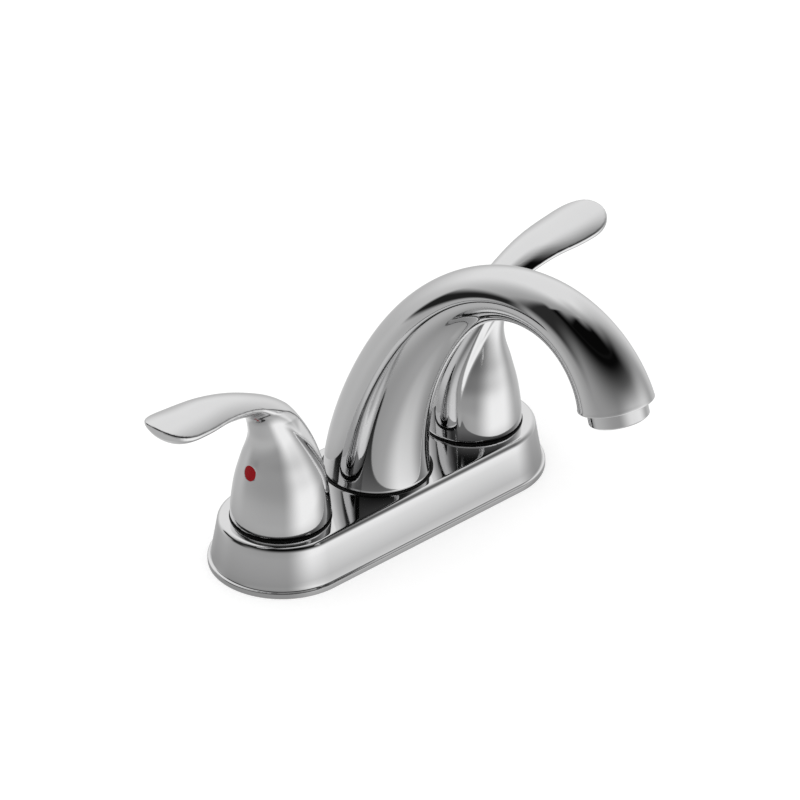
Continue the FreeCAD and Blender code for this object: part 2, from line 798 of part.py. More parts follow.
def arch_loft(first, last, count, inset):
    steps = 400
    samples = arch_points(steps)
    rings = []
    for number in range(count):
        share = first + (last - first) * number / (count - 1)
        place = round(share * steps)
        run = samples[min(place + 1, steps)] - samples[max(place - 1, 0)]
        if place == 0:
            run = Vector(0, 0, 1)
        if place == steps:
            run = INWARD * -1
        radius = smooth_radius(place / steps) - inset
        rings.append(Part.Wire([Part.Circle(samples[place], run, radius).toShape()]))
    return Part.makeLoft(rings, True, False)


def make_spout_shell():
    outer = arch_loft(0, 1, 21, 0)
    floor = float(sheet.spout_floor)
    inner = arch_loft(floor / arch_curve().Length, 0.96, 19, float(sheet.spout_wall))
    mouth = Part.makeCylinder((size("aerator_radius") + size("fit_gap")).value, float(sheet.mouth_depth),
                              OUTLET, INWARD)
    throat = Part.makeCylinder(float(sheet.throat_radius), float(sheet.throat_depth), OUTLET, INWARD)
    spigot = size("spigot_radius") + size("fit_gap")
    upward = Vector(0, 0, 1)
    shape = outer.cut(inner).cut(mouth).cut(throat)
    shape = shape.cut(Part.makeCylinder(spigot.value, 2 * floor, Vector(0, 0, SPOUT_FOOT.value), upward))
    for side in (-1, 1):
        place = Vector(0, side * float(sheet.fixing_offset), SPOUT_FOOT.value)
        shape = shape.cut(Part.makeCylinder(float(sheet.fixing_radius), 1.3 * floor, place, upward))
    shell = doc.addObject("Part::Feature", "spout_shell")
    shell.Label = "spout_shell"
    shell.Shape = shape
    return shell


def make_spout_tube():
    """Water way: upright in the hub, along the arch's own line, then straight into the outlet adapter."""
    body = new_body("spout_tube")
    start = SPIGOT_TOP - size("tube_socket")
    last = OUTLET + INWARD * float(sheet.tube_end)
    entry = last + INWARD * float(sheet.tube_socket)
    samples = arch_points(100)
    bends = [samples[place] for place in (28, 40, 52, 64, 74, 82, 88)]
    route = [Vector(0, SPIGOT_TOP.value, 0)]
    route += [Vector(point.y, point.z, 0) for point in bends]
    route.append(Vector(entry.y, entry.z, 0))
    line = Part.BSplineCurve()
    line.interpolate(Points=route, InitialTangent=Vector(0, 1, 0), FinalTangent=Vector(-INWARD.y, -INWARD.z, 0))
    path = new_sketch(body, "tube_path", "YZ_Plane")
    path.addGeometry(Part.LineSegment(Vector(0, start.value, 0), route[0]), False)
    path.addGeometry(line, False)
    path.addGeometry(Part.LineSegment(route[-1], Vector(last.y, last.z, 0)), False)
    wall = new_sketch(body, "tube_section", "XY_Plane", start)
    circle(wall, ZERO, ZERO, size("tube_radius"))
    circle(wall, ZERO, ZERO, size("tube_radius") - size("tube_wall"))
    pipe = body.newObject("PartDesign::AdditivePipe", "tube_sweep")
    pipe.Profile = wall
    pipe.Spine = path
    body.Tip = pipe
    return body


# Outlet pieces share an axis that runs into the spout's mouth
def at_outlet(body):
    body.Placement = FreeCAD.Placement(OUTLET, FreeCAD.Rotation(Vector(1, 0, 0), -float(sheet.outlet_tilt)))
    bind(body, ".Placement.Base.y", -size("spout_reach"))
    bind(body, ".Placement.Base.z", size("outlet_height"))
    bind(body, ".Placement.Rotation.Angle", -size("outlet_tilt"))
    return body


def make_outlet_pieces():
    roof = size("mouth_depth")
    low = roof - size("adapter_thickness")
    seat = low - size("aerator_washer")
    bore = size("tube_radius") - size("tube_wall")
    at_outlet(turned_piece("outlet_adapter", [
        (bore, low),
        (size("aerator_radius"), low),
        (size("aerator_radius"), roof),
        (size("tube_radius") + size("socket_wall"), roof),
        (size("tube_radius") + size("socket_wall"), size("tube_end") + size("tube_socket")),
        (size("tube_radius") + size("fit_gap"), size("tube_end") + size("tube_socket")),
        (size("tube_radius") + size("fit_gap"), size("tube_end")),
        (bore, size("tube_end")),
    ]))
    at_outlet(turned_piece("aerator_washer", ring_outline(
        AERATOR_BORE - size("ledge"), size("aerator_radius") - size("fit_gap"), seat, low)))
    chamfer = size("aerator_chamfer")
    drop = size("aerator_drop")
    at_outlet(turned_piece("aerator_housing", [
        (AERATOR_BORE - size("ledge"), -drop),
        (size("aerator_radius") - chamfer, -drop),
        (size("aerator_radius"), chamfer - drop),
        (size("aerator_radius"), seat),
        (AERATOR_BORE, seat),
        (AERATOR_BORE, size("ledge") - drop),
        (AERATOR_BORE - size("ledge"), size("ledge") - drop),
    ]))
    insert_low = size("ledge") - drop
    insert_top = insert_low + size("insert_depth")
    disc = AERATOR_BORE - size("fit_gap")
    insert = turned_piece("aerator_insert", ring_outline(ZERO, disc, insert_low, insert_top))
    perforate(insert, "insert_holes", size("insert_hole"), size("insert_pitch"), 2)
    at_outlet(insert)
    screen = turned_piece("aerator_screen", ring_outline(
        ZERO, disc, insert_top, insert_top + size("screen_thickness")))
    perforate(screen, "screen_holes", size("screen_hole"), size("screen_pitch"), 3)
    at_outlet(screen)


def perforate(body, name, radius, pitch, rows):
    """One hole in the middle and rings of six, twelve and so on round it."""
    holes = [(ZERO, ZERO, radius)]
    for row in range(1, rows + 1):
        for number in range(6 * row):
            angle = 2 * math.pi * number / (6 * row)
            holes.append((pitch * (row * math.cos(angle)), pitch * (row * math.sin(angle)), radius))
    drill(body, name, "XY_Plane", holes, upward=False, lift=size("mouth_depth"))


def make_fixing_screws():
    head_low = PLATE_UNDER - size("fixing_head")
    tip = SPOUT_FOOT + size("spout_floor") - size("fixing_tip_gap")
    for name, side in (("front", -1), ("back", 1)):
        screw = turned_piece(name + "_fixing_screw", [
            (ZERO, head_low),
            (size("fixing_head_radius"), head_low),
            (size("fixing_head_radius"), PLATE_UNDER),
            (size("fixing_radius"), PLATE_UNDER),
            (size("fixing_radius"), tip),
            (ZERO, tip),
        ])
        bind(screw, ".Placement.Base.y", size("fixing_offset") * side)


def make_spout_seal():
    seal = new_body("spout_seal")
    sketch = new_sketch(seal, "spout_seal_circle", "XZ_Plane")
    circle(sketch, size("spigot_radius") - size("ring_section"), SPOUT_SEAL, size("ring_section"))
    ring = seal.newObject("PartDesign::Revolution", "spout_seal_ring")
    ring.Profile = sketch
    ring.ReferenceAxis = (sketch, ["V_Axis"])
    ring.Angle = 360
    seal.Tip = ring


make_deck_plate()
make_base_gasket()
make_spout_hub()
make_spout_seal()
make_spout_shell()
make_spout_tube()
make_fixing_screws()
make_outlet_pieces()
make_ring("spout_base_ring", size("spout_foot_radius") - size("ring_width"), size("spout_ring_radius"),
          SPOUT_FOOT, ZERO)
for label, direction in SIDES:
    make_valve_body(label, direction)
    make_cross_tube(label, direction)
    make_cartridge(label, direction)
    make_ring(label + "_base_ring", size("base_ring_radius") - size("ring_width"),
              size("base_ring_radius"), RING_TOP, AXIS_X * direction)
make_handles()
doc.recompute()

for item in doc.Objects:
    if "Invalid" in item.State or "Error" in item.State:
        raise RuntimeError("%s did not build: %s" % (item.Name, item.State))
nodes = []
for item in doc.Objects:
    if item.TypeId == "PartDesign::Body" or item.TypeId == "Part::Feature" and item.InList == []:
        nodes.append(item)
os.makedirs("parts", exist_ok=True)
for item in nodes:
    if item.Shape.isNull() or not item.Shape.isValid():
        raise RuntimeError("%s has no sound shape" % item.Label)
    item.Shape.exportStep("parts/%s.step" % item.Label)
    box = item.Shape.BoundBox
    print("%-24s solids %d volume %9.1f  x %7.2f %7.2f  y %7.2f %7.2f  z %7.2f %7.2f" % (
        item.Label, len(item.Shape.Solids), item.Shape.Volume,
        box.XMin, box.XMax, box.YMin, box.YMax, box.ZMin, box.ZMax))
print(len(nodes), "pieces")
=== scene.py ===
"""Looks for the two-handle faucet: dense castings, materials, studio and camera."""

import json
import math

import bmesh
import bpy
import numpy as np
from mathutils import Matrix, Vector


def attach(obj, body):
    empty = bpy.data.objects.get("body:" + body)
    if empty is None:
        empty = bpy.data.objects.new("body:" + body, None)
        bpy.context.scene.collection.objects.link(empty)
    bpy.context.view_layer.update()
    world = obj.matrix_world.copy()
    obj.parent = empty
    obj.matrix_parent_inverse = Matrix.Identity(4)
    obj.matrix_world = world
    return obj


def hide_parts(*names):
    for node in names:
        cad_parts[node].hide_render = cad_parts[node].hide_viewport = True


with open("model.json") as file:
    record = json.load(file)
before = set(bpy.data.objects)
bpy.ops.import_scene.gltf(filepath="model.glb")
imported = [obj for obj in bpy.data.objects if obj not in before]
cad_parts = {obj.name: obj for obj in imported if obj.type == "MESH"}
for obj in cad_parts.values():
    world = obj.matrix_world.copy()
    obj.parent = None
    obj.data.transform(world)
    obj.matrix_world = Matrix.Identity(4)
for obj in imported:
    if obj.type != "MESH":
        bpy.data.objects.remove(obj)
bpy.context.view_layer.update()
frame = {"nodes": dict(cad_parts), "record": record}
NODES = frame["nodes"]

# Lengths are in millimetres unless a name ends in _M
MM = 0.001
BASE = "deck_assembly"
HALF_SPACING = 50.8
DECK_TOP = 20.3
BELL_FOOT = 21.1
QUARTER = math.pi / 2


# Helpers
class Curve:
    """Natural cubic spline through rows of values at the given knots."""

    def __init__(self, knots, rows):
        self.k = np.asarray(knots, float)
        self.v = np.asarray(rows, float).reshape(len(self.k), -1)
        n = len(self.k)
        h = np.diff(self.k)
        a = np.zeros((n, n))
        b = np.zeros((n, self.v.shape[1]))
        a[0, 0] = a[-1, -1] = 1.0
        for i in range(1, n - 1):
            a[i, i - 1] = h[i - 1]
            a[i, i] = 2 * (h[i - 1] + h[i])
            a[i, i + 1] = h[i]
            b[i] = 6 * ((self.v[i + 1] - self.v[i]) / h[i] - (self.v[i] - self.v[i - 1]) / h[i - 1])
        self.m = np.linalg.solve(a, b)
        self.h = h

    def __call__(self, t, order=0):
        """Values at t, or their slopes for order 1."""
        t = np.clip(t, self.k[0], self.k[-1])
        i = np.clip(np.searchsorted(self.k, t, side="right") - 1, 0, len(self.k) - 2)
        h = self.h[i][..., None]
        a = (self.k[i + 1] - t)[..., None] / h
        b = 1 - a
        y0, y1, m0, m1 = self.v[i], self.v[i + 1], self.m[i], self.m[i + 1]
        if order == 0:
            return a * y0 + b * y1 + ((a ** 3 - a) * m0 + (b ** 3 - b) * m1) * h * h / 6
        return (y1 - y0) / h + ((1 - 3 * a * a) * m0 + (3 * b * b - 1) * m1) * h / 6


def link_object(name, mesh):
    obj = bpy.data.objects.new(name, mesh)
    bpy.context.scene.collection.objects.link(obj)
    return obj


def mesh_object(name, verts, faces, smooth=True):
    mesh = bpy.data.meshes.new(name)
    points = [tuple(v) for v in np.asarray(verts) * MM]
    mesh.from_pydata(points, [], [tuple(int(i) for i in face) for face in faces])
    mesh.update()
    if smooth:
        mesh.polygons.foreach_set("use_smooth", [True] * len(mesh.polygons))
    return link_object(name, mesh)


def round_angles(around):
    return np.linspace(0, 2 * math.pi, around, endpoint=False)


def closed_faces(rings, around):
    """Quads from each ring to the next, and from the last ring back to the first."""
    faces = []
    for ring in range(rings):
        low = ring * around
        high = (ring + 1) % rings * around
        for c in range(around):
            d = (c + 1) % around
            faces.append((low + c, low + d, high + d, high + c))
    return faces


def smooth_max(a, b, k):
    """The larger of two fields, rounded over a width k where they meet."""
    h = np.clip(0.5 + 0.5 * (a - b) / k, 0, 1)
    return b + (a - b) * h + k * h * (1 - h)


def smooth_min(a, b, k):
    return -smooth_max(-a, -b, k)


# Spout
SPOUT_LOW = np.array([(0, 20.6), (0, 60.5), (-37.8, 135.7), (-93.8, 135.7)])
SPOUT_HIGH = np.array([(-93.8, 135.7), (-114.0, 135.7), (-128.09, 123.53), (-132.4, 110.1)])
SPOUT_RADII = ((0.0, 21.0), (0.08, 19.35), (0.2, 17.1), (0.38, 14.2), (0.6, 10.9), (0.82, 11.8), (1.0, 15.0))
SPOUT_ROWS = 260
SPOUT_AROUND = 160
SPOUT_WALL = 2.4
SPOUT_LIP = 0.5
MOUTH_RADIUS = 15.0
MOUTH_BEVEL = 12.6
AERATOR_SEAT_RADIUS = 11.95
AERATOR_SEAT_DEPTH = 6.0
SEAT_CORNER = 0.1
SEAT_CORNER_RADIUS = 11.8
THROAT_RADIUS = 7.2
THROAT_DEPTH = 10.0
SPIGOT_BORE = 7.75
HOLLOW_FIRST = int(SPOUT_ROWS * 0.035)
HOLLOW_LAST = int(SPOUT_ROWS * 0.95)
TILT = math.radians(17.8)


def bezier(poles, t):
    t = t[:, None]
    s = 1 - t
    return s ** 3 * poles[0] + 3 * s * s * t * poles[1] + 3 * s * t * t * poles[2] + t ** 3 * poles[3]


def spout_spine():
    """Shares of the arch's length, places in the YZ plane at even steps, and the length."""
    t = np.linspace(0, 1, 1500)
    line = np.vstack([bezier(SPOUT_LOW, t), bezier(SPOUT_HIGH, t)[1:]])
    length = np.r_[0, np.cumsum(np.linalg.norm(np.diff(line, axis=0), axis=1))]
    share = np.linspace(0, 1, SPOUT_ROWS)
    y = np.interp(share * length[-1], length, line[:, 0])
    z = np.interp(share * length[-1], length, line[:, 1])
    return share, np.c_[y, z], length[-1]


def spout_ring(centre, way, radius):
    """Points of a circle about a place on the arch, square to its direction."""
    angle = round_angles(SPOUT_AROUND)
    across = np.array((-way[1], way[0]))
    points = np.zeros((SPOUT_AROUND, 3))
    points[:, 0] = radius * np.sin(angle)
    points[:, 1:] = centre + np.outer(radius * np.cos(angle), across)
    return points


def make_spout():
    """Outside from foot to mouth, then the mouth's seat and throat, and the hollow back to the foot."""
    share, spine, length = spout_spine()
    run = np.gradient(spine, axis=0)
    run[0] = (0, 1)
    run[-1] = (-math.sin(TILT), -math.cos(TILT))
    run /= np.linalg.norm(run, axis=1)[:, None]
    knots, radii = zip(*SPOUT_RADII)
    radius = Curve(knots, radii)(share)[:, 0]
    tip, way = spine[-1], run[-1]
    rings = []
    for k in range(6, -1, -1):
        bend = k / 6 * QUARTER
        rise = SPOUT_LIP * (1 - math.sin(bend))
        size = radius[0] - SPOUT_LIP * (1 - math.cos(bend))
        rings.append(spout_ring(spine[0] + (0, rise), run[0], size))
    for k in range(1, SPOUT_ROWS - 1):
        if share[k] * length > SPOUT_LIP + 0.1 and (1 - share[k]) * length > SPOUT_LIP + 0.2:
            rings.append(spout_ring(spine[k], run[k], radius[k]))
    for k in range(9):
        bend = k / 8 * QUARTER
        back = SPOUT_LIP * (1 - math.sin(bend))
        size = MOUTH_RADIUS - SPOUT_LIP * (1 - math.cos(bend))
        rings.append(spout_ring(tip - way * back, way, size))
    rings.append(spout_ring(tip, way, MOUTH_BEVEL))
    for k in range(5):
        bend = k / 4 * QUARTER
        size = AERATOR_SEAT_RADIUS + SPOUT_LIP * (1 - math.sin(bend))
        rings.append(spout_ring(tip - way * SPOUT_LIP * math.sin(bend), way, size))
    for back, bore in (
        (AERATOR_SEAT_DEPTH - SEAT_CORNER, AERATOR_SEAT_RADIUS),
        (AERATOR_SEAT_DEPTH, SEAT_CORNER_RADIUS),
        (AERATOR_SEAT_DEPTH, THROAT_RADIUS),
        (THROAT_DEPTH, THROAT_RADIUS),
    ):
        rings.append(spout_ring(tip - way * back, way, bore))
    for k in range(HOLLOW_LAST, HOLLOW_FIRST, -3):
        rings.append(spout_ring(spine[k], run[k], radius[k] - SPOUT_WALL))
    rings.append(spout_ring(spine[HOLLOW_FIRST], run[0], SPIGOT_BORE))
    rings.append(spout_ring(spine[0], run[0], SPIGOT_BORE))
    obj = mesh_object("spout_casting", np.vstack(rings), closed_faces(len(rings), SPOUT_AROUND))
    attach(obj, BASE)
    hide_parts("spout_shell")
    return [(obj, "chrome")]


# Handles
BUTTON_HEIGHT = 46.2
BUTTON_SIDE = -0.7
BUTTON_RADIUS = 3.02
BUTTON_SEAT = 14.2
BUTTON_PROUD = 0.07
BUTTON_RECESS = 2.5
SCREW_BORE = 2.0
SCREW_BORE_END = 15
HOLLOW_RADIUS = 16.95
HOLLOW_TOP = 41.0
HOLLOW_CONE = 33.7
BOSS_RADIUS = 7.4
BOSS_FOOT = 34.6
STEM_BORE = 3.98
STEM_BORE_TOP = 52.0
HOLLOW_CONE_WAY = (0.93, 0.37)
HUB_TOP = 73.4
HUB_TOP_REACH = 9.5
HUB_TOP_SLOPE = 0.45
CREASE_ROUND = 0.8
NECK_ROUND = 3.4
NECK_START = 60
NECK_SPAN = 8
STRAP_TOP_ROUND = 0.45
STRAP_LOW_ROUND = 0.6
BELL_FOOT_ROUND = 0.3
RECESS_ROUND = 0.25
HUB = (
    # height, radius, shift towards the lever
    (18.0, 19.65, 0.0), (25.0, 19.6, 0.0), (29.0, 19.2, 0.0), (33.0, 18.7, 0.0), (37.0, 18.0, 0.1),
    (41.0, 17.0, 0.3), (45.0, 15.6, 0.8), (49.0, 14.1, 1.4), (53.0, 12.4, 2.0), (57.0, 10.8, 2.9),
    (61.0, 9.5, 4.2), (65.0, 8.7, 5.8), (69.0, 8.1, 7.5), (73.2, 7.7, 9.5),
)
STRAP = (
    # reach, height, half width, crown, depth at the edges, belly below the edges
    (-19.9, 18.0, 10.5, 3.2, 5.0, 2.0),
    (-19.9, 21.8, 10.4, 3.2, 5.0, 2.0),
    (-19.8, 28.0, 10.0, 3.2, 5.0, 2.0),
    (-19.2, 35.0, 9.6, 3.3, 5.0, 2.0),
    (-17.7, 42.5, 9.0, 3.3, 5.0, 2.0),
    (-15.4, 49.5, 8.5, 3.2, 4.6, 2.0),
    (-12.1, 56.4, 8.3, 3.0, 4.2, 2.0),
    (-7.7, 63.6, 8.3, 2.8, 3.9, 2.0),
    (-2.0, 70.8, 8.3, 2.5, 3.0, 2.4),
    (5.0, 76.3, 8.1, 2.6, 2.0, 3.2),
    (12.6, 80.6, 8.0, 2.9, 1.3, 4.2),
    (20.5, 84.3, 8.6, 3.1, 1.1, 4.9),
    (29.0, 87.2, 9.6, 3.3, 1.1, 5.4),
    (38.0, 89.0, 10.6, 3.4, 1.15, 5.5),
    (46.0, 89.7, 11.5, 3.5, 1.3, 5.2),
    (53.0, 90.35, 11.85, 3.5, 1.45, 5.3),
    (59.0, 90.9, 11.9, 3.4, 1.6, 5.2),
    (63.5, 91.1, 11.9, 3.3, 1.75, 4.6),
    (67.7, 91.15, 11.9, 3.2, 1.85, 4.0),
)
TIP_START = 53.4
TIP_LENGTH = 14.3
TIP_SQUARENESS = 2.5
LEVER_SWING = {-1: math.radians(3.3), 1: math.radians(0.2)}
HANDLE_LOW = (-22.0, -21.0, 20.5)
HANDLE_HIGH = (69.0, 21.0, 92.0)
HANDLE_CELL = 0.62


class Field:
    """Signed field of one handle, lever towards +X, axis upright through the origin."""

    def __init__(self):
        hub = np.array(HUB)
        self.axis = Curve(hub[:, 0], np.c_[hub[:, 2], hub[:, 1]])
        strap = np.array(STRAP)
        gap = np.linalg.norm(np.diff(strap[:, :2], axis=0), axis=1)
        knots = np.r_[0, np.cumsum(gap)]
        self.line = Curve(knots, strap[:, :2])
        self.shape = Curve(knots, strap[:, 2:])
        self.end = knots[-1]
        self.dense = np.linspace(0, self.end, 900)
        self.points = self.line(self.dense)
        self.tip = self.dense[np.argmin(np.abs(self.points[:, 0] - TIP_START))]

    def strap_place(self, x, z):
        """Place along the strap of the nearest point, for flat arrays."""
        out = np.empty(x.shape)
        for first in range(0, len(x), 4000):
            part = slice(first, first + 4000)
            dx = x[part, None] - self.points[None, :, 0]
            dz = z[part, None] - self.points[None, :, 1]
            out[part] = self.dense[(dx ** 2 + dz ** 2).argmin(1)]
        for _ in range(3):
            p, q = self.line(out), self.line(out, 1)
            step = ((x - p[:, 0]) * q[:, 0] + (z - p[:, 1]) * q[:, 1]) / (q ** 2).sum(1)
            out = np.clip(out + step, 0, self.end)
        return out

    def strap_local(self, x, z):
        """Place along the strap, distance past its end, height above it, and its section there."""
        place = self.strap_place(x, z)
        p, q = self.line(place), self.line(place, 1)
        q /= np.linalg.norm(q, axis=1)[:, None]
        dx, dz = x - p[:, 0], z - p[:, 1]
        along = dx * q[:, 0] + dz * q[:, 1]
        out = -dx * q[:, 1] + dz * q[:, 0]
        return place, along, out, self.shape(place)

    def hub_local(self, x, z):
        """Shift and radius of the bell at a height, and the cosine of its slope."""
        shift = self.axis(z)
        slope = self.axis(z, 1)
        return shift[:, 0], shift[:, 1], 1 / np.sqrt(1 + slope[:, 1] ** 2)

    def strap_field(self, y, strap):
        """Strap and lever: crowned above, bellied below, and round at the tip."""
        place, along, out, shape = strap
        half, crown, depth, belly = shape[..., 0], shape[..., 1], shape[..., 2], shape[..., 3]
        side = np.abs(y) - half
        ahead = np.maximum(place - self.tip + np.maximum(along, 0), 0)
        power = TIP_SQUARENESS
        round_tip = ((ahead / TIP_LENGTH) ** power + (np.abs(y) / half) ** power) ** (1 / power) - 1
        tip_scale = half * (1 - 0.25 * np.clip(ahead / TIP_LENGTH, 0, 1))
        side = np.where(ahead > 0, round_tip * tip_scale, side)
        narrow = np.clip(1 - (ahead / TIP_LENGTH) ** power, 0.01, 1) ** (1 / power)
        share = np.clip((y / half) ** 2, 0, 1.4)
        inner = np.clip((y / (half * narrow)) ** 2, 0, 1.4)
        over = out + crown * share
        under = -(out + crown * narrow ** 2 + depth + belly * narrow * (1 - inner))
        return smooth_max(smooth_max(over, side, STRAP_TOP_ROUND), under, STRAP_LOW_ROUND)

    def hub_field(self, y, x, z, hub):
        """Bell below the strap, with a sloping top inside it."""
        shift, radius, steep = hub
        wall = (np.sqrt((x - shift) ** 2 + y ** 2) - radius) * steep
        sloping_top = z - HUB_TOP - HUB_TOP_SLOPE * (x - HUB_TOP_REACH)
        return np.maximum(wall, sloping_top)

    def value(self, y, x, z, strap=None, hub=None):
        """Less than 0 in the casting and more than 0 outside it."""
        strap = self.strap_local(x, z) if strap is None else strap
        hub = self.hub_local(x, z) if hub is None else hub
        blend = CREASE_ROUND + NECK_ROUND * np.clip((z - NECK_START) / NECK_SPAN, 0, 1)
        body = smooth_min(self.strap_field(y, strap), self.hub_field(y, x, z, hub), blend)
        body = smooth_max(body, BELL_FOOT - z, BELL_FOOT_ROUND)
        far = np.sqrt(x ** 2 + y ** 2)
        cone = (far - HOLLOW_RADIUS) * HOLLOW_CONE_WAY[0] + (z - HOLLOW_CONE) * HOLLOW_CONE_WAY[1]
        hollow = np.maximum(np.maximum(far - HOLLOW_RADIUS, z - HOLLOW_TOP), cone)
        boss = np.maximum(far - BOSS_RADIUS, BOSS_FOOT - z)
        hollow = np.maximum(hollow, -boss)
        stem = np.maximum(far - STEM_BORE, z - STEM_BORE_TOP)
        off_button = np.sqrt((y - BUTTON_SIDE) ** 2 + (z - BUTTON_HEIGHT) ** 2)
        screw = np.maximum(np.maximum(off_button - SCREW_BORE, x - SCREW_BORE_END), -x)
        for cut in (hollow, stem, screw):
            body = np.maximum(body, -cut)
        recess = np.maximum(off_button - BUTTON_RECESS, BUTTON_SEAT - x)
        return smooth_max(body, -recess, RECESS_ROUND)


def crossing_points(values, inside, where):
    """Mean of the places where a cell's edges cross the surface, in cells."""
    total = np.zeros((len(where), 3))
    weight = np.zeros(len(where))
    corners = [(a, b, c) for a in (0, 1) for b in (0, 1) for c in (0, 1)]
    for one in corners:
        for axis in range(3):
            if one[axis]:
                continue
            two = list(one)
            two[axis] = 1
            v0 = values[where[:, 0] + one[0], where[:, 1] + one[1], where[:, 2] + one[2]]
            v1 = values[where[:, 0] + two[0], where[:, 1] + two[1], where[:, 2] + two[2]]
            cross = (v0 < 0) != (v1 < 0)
            part = np.where(cross, v0 / np.where(cross, v0 - v1, 1), 0)
            spot = np.tile(np.array(one, float), (len(where), 1))
            spot[:, axis] += part
            total += spot * cross[:, None]
            weight += cross
    return where + total / weight[:, None]


def onto_surface(field, verts, cell):
    """Moves points along the field's slope until they lie on the surface."""
    step = 0.02
    for _ in range(3):
        f0 = field.value(verts[:, 1], verts[:, 0], verts[:, 2])
        grad = np.empty_like(verts)
        for axis in range(3):
            moved = verts.copy()
            moved[:, axis] += step
            grad[:, axis] = (field.value(moved[:, 1], moved[:, 0], moved[:, 2]) - f0) / step
        size = np.maximum((grad ** 2).sum(1), 0.15)
        shift = -(f0 / size)[:, None] * grad
        verts = verts + np.clip(shift, -0.3 * cell, 0.3 * cell)
    return verts


def crossing_quads(inside, index, count):
    """One quad round each grid edge that the surface crosses, facing outwards."""
    faces = []
    for axis in range(3):
        one, two = [(1, 2), (2, 0), (0, 1)][axis]
        near = [slice(None)] * 3
        far = [slice(None)] * 3
        near[axis] = slice(0, -1)
        far[axis] = slice(1, None)
        flips = inside[tuple(near)]
        spots = np.argwhere(flips != inside[tuple(far)])
        ok = (spots[:, one] > 0) & (spots[:, two] > 0)
        ok &= (spots[:, one] < count[one] - 1) & (spots[:, two] < count[two] - 1)
        spots = spots[ok]
        flip = flips[spots[:, 0], spots[:, 1], spots[:, 2]]
        quad = []
        for d1, d2 in ((1, 1), (0, 1), (0, 0), (1, 0)):
            s = spots.copy()
            s[:, one] -= d1
            s[:, two] -= d2
            quad.append(index[s[:, 0], s[:, 1], s[:, 2]])
        quad = np.stack(quad, 1)
        quad[~flip] = quad[~flip][:, ::-1]
        faces.append(quad)
    return np.vstack(faces)


def surface_net(field, low, high, cell):
    """Quads where the field changes sign, with corners moved onto the surface."""
    count = [int(round((high[i] - low[i]) / cell)) + 1 for i in range(3)]
    xs, ys, zs = [low[i] + cell * np.arange(count[i]) for i in range(3)]
    gx, gz = np.meshgrid(xs, zs, indexing="ij")
    flat_x, flat_z = gx.ravel(), gz.ravel()
    strap = field.strap_local(flat_x, flat_z)
    hub = field.hub_local(flat_x, flat_z)
    values = np.empty((count[0], count[1], count[2]), np.float32)
    for j, y in enumerate(ys):
        values[:, j, :] = field.value(y, flat_x, flat_z, strap, hub).reshape(count[0], count[2])
    inside = values < 0
    cells = np.zeros([c - 1 for c in count], np.int8)
    for a in (0, 1):
        for b in (0, 1):
            for c in (0, 1):
                cells += inside[a:count[0] - 1 + a, b:count[1] - 1 + b, c:count[2] - 1 + c]
    active = (cells > 0) & (cells < 8)
    index = -np.ones(active.shape, np.int64)
    where = np.argwhere(active)
    index[active] = np.arange(len(where))
    verts = np.array(low) + cell * crossing_points(values, inside, where)
    return onto_surface(field, verts, cell), crossing_quads(inside, index, count)


def turned(points, side):
    """Places points of the lever-towards-+X handle on one side, with the lever's small swing."""
    angle = LEVER_SWING[side] + (0 if side > 0 else math.pi)
    points = np.asarray(points, float)
    x = points[:, 0] * math.cos(angle) - points[:, 1] * math.sin(angle) + side * HALF_SPACING
    y = points[:, 0] * math.sin(angle) + points[:, 1] * math.cos(angle)
    return np.c_[x, y, points[:, 2]]


def make_handles():
    cell = HANDLE_CELL
    verts, faces = surface_net(Field(), HANDLE_LOW, HANDLE_HIGH, cell)
    pieces = []
    for name, side in (("hot", -1), ("cold", 1)):
        obj = mesh_object(name + "_lever_casting", turned(verts, side), faces)
        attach(obj, name + "_handle_set")
        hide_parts(name + "_handle")
        pieces.append((obj, "chrome"))
    return pieces


def make_buttons():
    """Round index plugs whose faces follow the bell."""
    field = Field()
    around = 72
    angle = round_angles(around)
    rings = []
    for size, back in ((0.0, 0.0), (0.3, 0.0), (0.6, 0.0), (0.85, 0.0), (0.97, 0.0), (1.0, 0.05)):
        y = BUTTON_RADIUS * size * np.cos(angle) + BUTTON_SIDE
        z = BUTTON_HEIGHT + BUTTON_RADIUS * size * np.sin(angle)
        spot = field.axis(z)
        x = spot[:, 0] + np.sqrt(spot[:, 1] ** 2 - y ** 2) + BUTTON_PROUD - back
        rings.append(np.c_[x, y, z])
    seat = np.full(around, BUTTON_SEAT)
    rings.append(np.c_[seat, rings[-1][:, 1], rings[-1][:, 2]])
    rings.append(np.c_[seat, np.full(around, BUTTON_SIDE), np.full(around, BUTTON_HEIGHT)])
    faces = []
    for ring in range(len(rings) - 1):
        a = ring * around
        b = a + around
        for c in range(around):
            d = (c + 1) % around
            if ring == 0:
                faces.append((a, b + c, b + d))
            elif ring == len(rings) - 2:
                faces.append((a + c, b, a + d))
            else:
                faces.append((a + c, b + c, b + d, a + d))
    verts = np.vstack(rings)
    pieces = []
    for name, side, slot in (("hot", -1, "red_plastic"), ("cold", 1, "blue_plastic")):
        obj = mesh_object(name + "_index_plug", turned(verts, side), faces)
        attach(obj, name + "_handle_set")
        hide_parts(name + "_index_button")
        pieces.append((obj, slot))
    return pieces


# Deck plate
PLATE_REACH = 50.3
PLATE_RADIUS = 29.1
PLATE_SHIFT = 0.4
PLATE_DRAFT = math.tan(math.radians(11))
PLATE_WALL = 2.4
PLATE_AROUND = 240
PLATE_HOLES = (
    # x, y, radius
    (-HALF_SPACING, 0, 12.3),
    (HALF_SPACING, 0, 12.3),
    (0, 0, 7.9),
    (0, -13.6, 2.5),
    (0, 13.6, 2.5),
)
HOLE_AROUND = 64
FOOT_ROUND = 0.25
LIP_HEIGHT = 2.4
LIP_DEPTH = 0.7
LIP_ROUND = 0.5
VALLEY_ROUND = 0.7
TOP_ROUND = 2.4
TOP_RUN = 0.6


